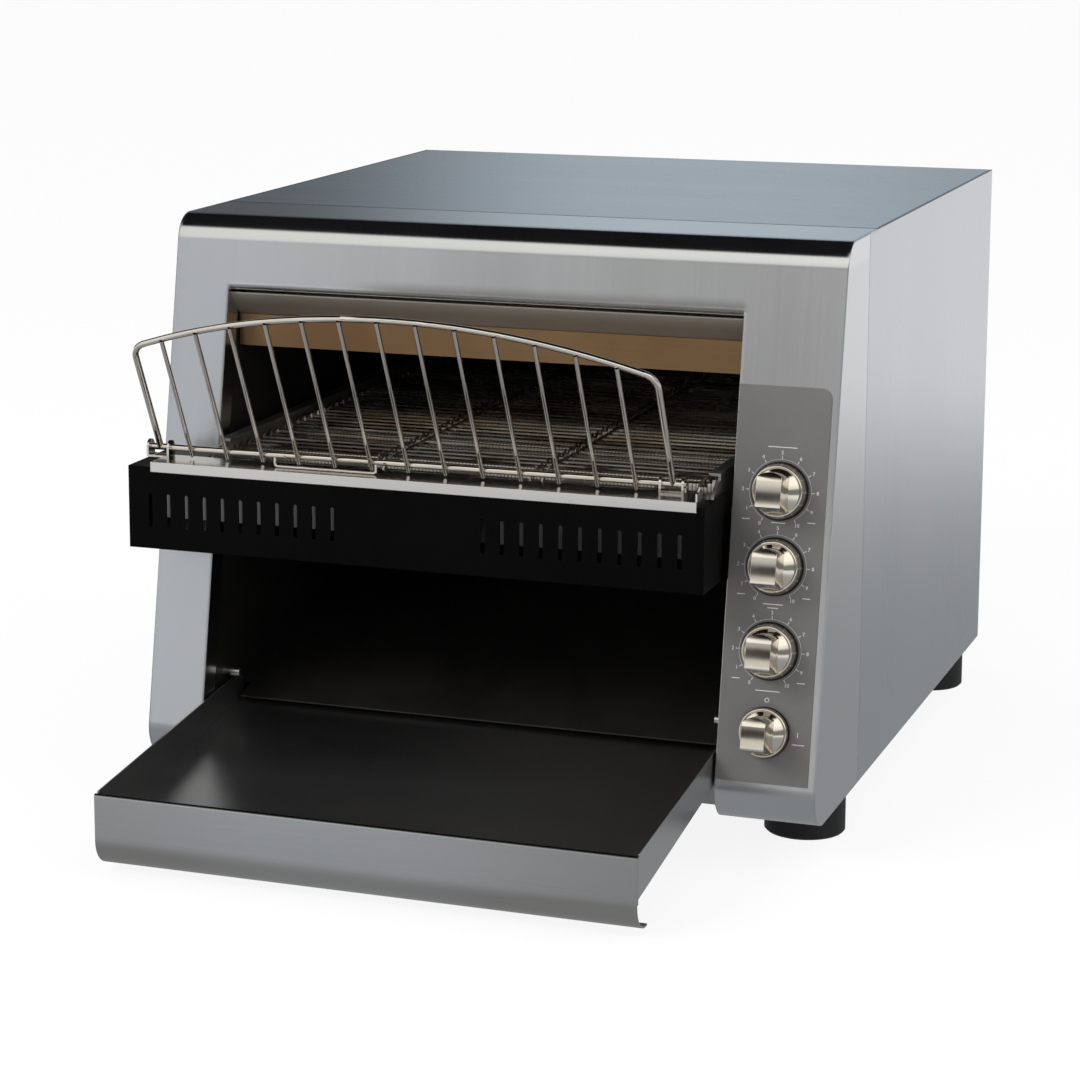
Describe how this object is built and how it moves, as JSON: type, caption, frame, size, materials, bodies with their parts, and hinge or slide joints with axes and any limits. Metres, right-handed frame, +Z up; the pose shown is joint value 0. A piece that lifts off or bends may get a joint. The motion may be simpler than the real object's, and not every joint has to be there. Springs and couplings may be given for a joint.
{
  "type": "conveyor toaster",
  "caption": "Countertop conveyor toaster: a load rack and shelf feed slices onto a moving wire belt between heaters, and toast slides back out into a front tray.",
  "frame": {"origin": "on the worktop, under the middle of the whole machine's bounding box", "axes": "+X to the viewer's right facing the controls, +Y from the tray towards the rear panel, +Z up"},
  "size_m": [0.47, 0.717, 0.398],
  "materials": {
    "stainless": "brushed",
    "sheet_steel": "mill",
    "overlay": "satin",
    "black_metal": "satin",
    "dark_steel": "matt, heat-darkened",
    "rubber": "matt",
    "fastener": "zinc-plated",
    "wire": "bright-plated",
    "belt": "heat-tinted",
    "shaft": "turned",
    "bronze": "sintered",
    "chain": "oiled",
    "quartz": "clear, with its coil inside",
    "ceramic": "unglazed ceramic",
    "reflector": "bright",
    "wool": "mineral wool",
    "baffle": "heat-tinted",
    "motor": "cast",
    "black_plastic": "satin",
    "board": "satin",
    "nickel": "satin nickel",
    "block": "satin"
  },
  "bodies": {
    "housing": {"front_bezel": "stainless", "control_overlay": "overlay", "top_cover": "stainless", "side_cover_left": "stainless", "side_cover_right": "stainless", "rear_panel": "stainless", "base_pan": "sheet_steel", "feet": "rubber", "foot_screws": "fastener", "burn_guard": "black_metal", "guard_shield": "sheet_steel", "feed_shelf": "stainless", "rack_clips": "wire", "conveyor_rail_left": "sheet_steel", "conveyor_rail_right": "sheet_steel", "shaft_bushes": "bronze", "wire_belt": "belt", "drive_chain": "chain", "gearmotor": "motor", "motor_bracket": "sheet_steel", "upper_heaters": "quartz", "lower_heaters": "quartz", "heater_caps": "ceramic", "upper_reflector": "reflector", "lower_reflector": "reflector", "insulation": "wool", "feed_baffle": "baffle", "chamber_wall_left": "dark_steel", "chamber_wall_right": "dark_steel", "rear_deflector": "sheet_steel", "return_ramp": "sheet_steel", "tray_studs": "fastener", "tray_rails": "dark_steel", "fan_frame": "black_plastic", "fan_grille": "wire", "speed_control": "board", "top_heat_switch": "black_plastic", "bottom_heat_switch": "black_plastic", "power_switch": "black_plastic", "control_nuts": "fastener", "terminal_block": "block", "cord_gland": "black_plastic"},
    "load_rack": {"load_rack": "wire"},
    "toast_tray": {"toast_tray": "stainless"},
    "drive_roller": {"drive_shaft": "shaft", "belt_sprockets": "sheet_steel", "shaft_sprocket": "sheet_steel"},
    "idler_roller": {"idler_shaft": "shaft", "idler_rollers": "sheet_steel"},
    "motor_output": {"motor_sprocket": "sheet_steel"},
    "fan_wheel": {"fan_rotor": "black_plastic"},
    "speed_dial": {"speed_knob": "nickel", "speed_spindle": "shaft"},
    "top_heat_dial": {"top_heat_knob": "nickel", "top_heat_spindle": "shaft"},
    "bottom_heat_dial": {"bottom_heat_knob": "nickel", "bottom_heat_spindle": "shaft"},
    "power_dial": {"power_knob": "nickel", "power_spindle": "shaft"}
  },
  "joints": [
    {"name": "load_rack_tilt", "type": "hinge", "parent": "housing", "child": "load_rack", "pos_m": [0, -0.197, 0.248], "axis": [-1, 0, 0], "range_deg": [0, 45]},
    {"name": "toast_tray_slide", "type": "slide", "parent": "housing", "child": "toast_tray", "axis": [0, -0.9903, -0.1392], "range_m": [0, 0.024]},
    {"name": "belt_drive", "type": "hinge", "parent": "housing", "child": "drive_roller", "pos_m": [0, 0.2505, 0.2265], "axis": [-1, 0, 0], "continuous": true, "deforming": ["wire_belt", "drive_chain"]},
    {"name": "belt_idler", "type": "hinge", "parent": "housing", "child": "idler_roller", "pos_m": [0, -0.1695, 0.2265], "axis": [-1, 0, 0], "continuous": true},
    {"name": "motor_turn", "type": "hinge", "parent": "housing", "child": "motor_output", "pos_m": [0, 0.18111, 0.14381], "axis": [-1, 0, 0], "continuous": true},
    {"name": "fan_spin", "type": "hinge", "parent": "housing", "child": "fan_wheel", "pos_m": [0.2025, 0.3305, 0.325], "axis": [0, 1, 0], "continuous": true},
    {"name": "speed_turn", "type": "hinge", "parent": "housing", "child": "speed_dial", "pos_m": [0.2, -0.15989, 0.24019], "axis": [0, -0.9835, 0.181], "range_deg": [-150, 150]},
    {"name": "top_heat_turn", "type": "hinge", "parent": "housing", "child": "top_heat_dial", "pos_m": [0.2, -0.16865, 0.19258], "axis": [0, -0.9835, 0.181], "range_deg": [-150, 150]},
    {"name": "bottom_heat_turn", "type": "hinge", "parent": "housing", "child": "bottom_heat_dial", "pos_m": [0.2, -0.17846, 0.13928], "axis": [0, -0.9835, 0.181], "range_deg": [-150, 150]},
    {"name": "power_turn", "type": "hinge", "parent": "housing", "child": "power_dial", "pos_m": [0.2, -0.18791, 0.08794], "axis": [0, -0.9835, 0.181], "range_deg": [-90, 90]}
  ],
  "couplings": [
    {"joint": "belt_idler", "follows": "belt_drive", "ratio": 1},
    {"joint": "motor_turn", "follows": "belt_drive", "ratio": 1}
  ]
}
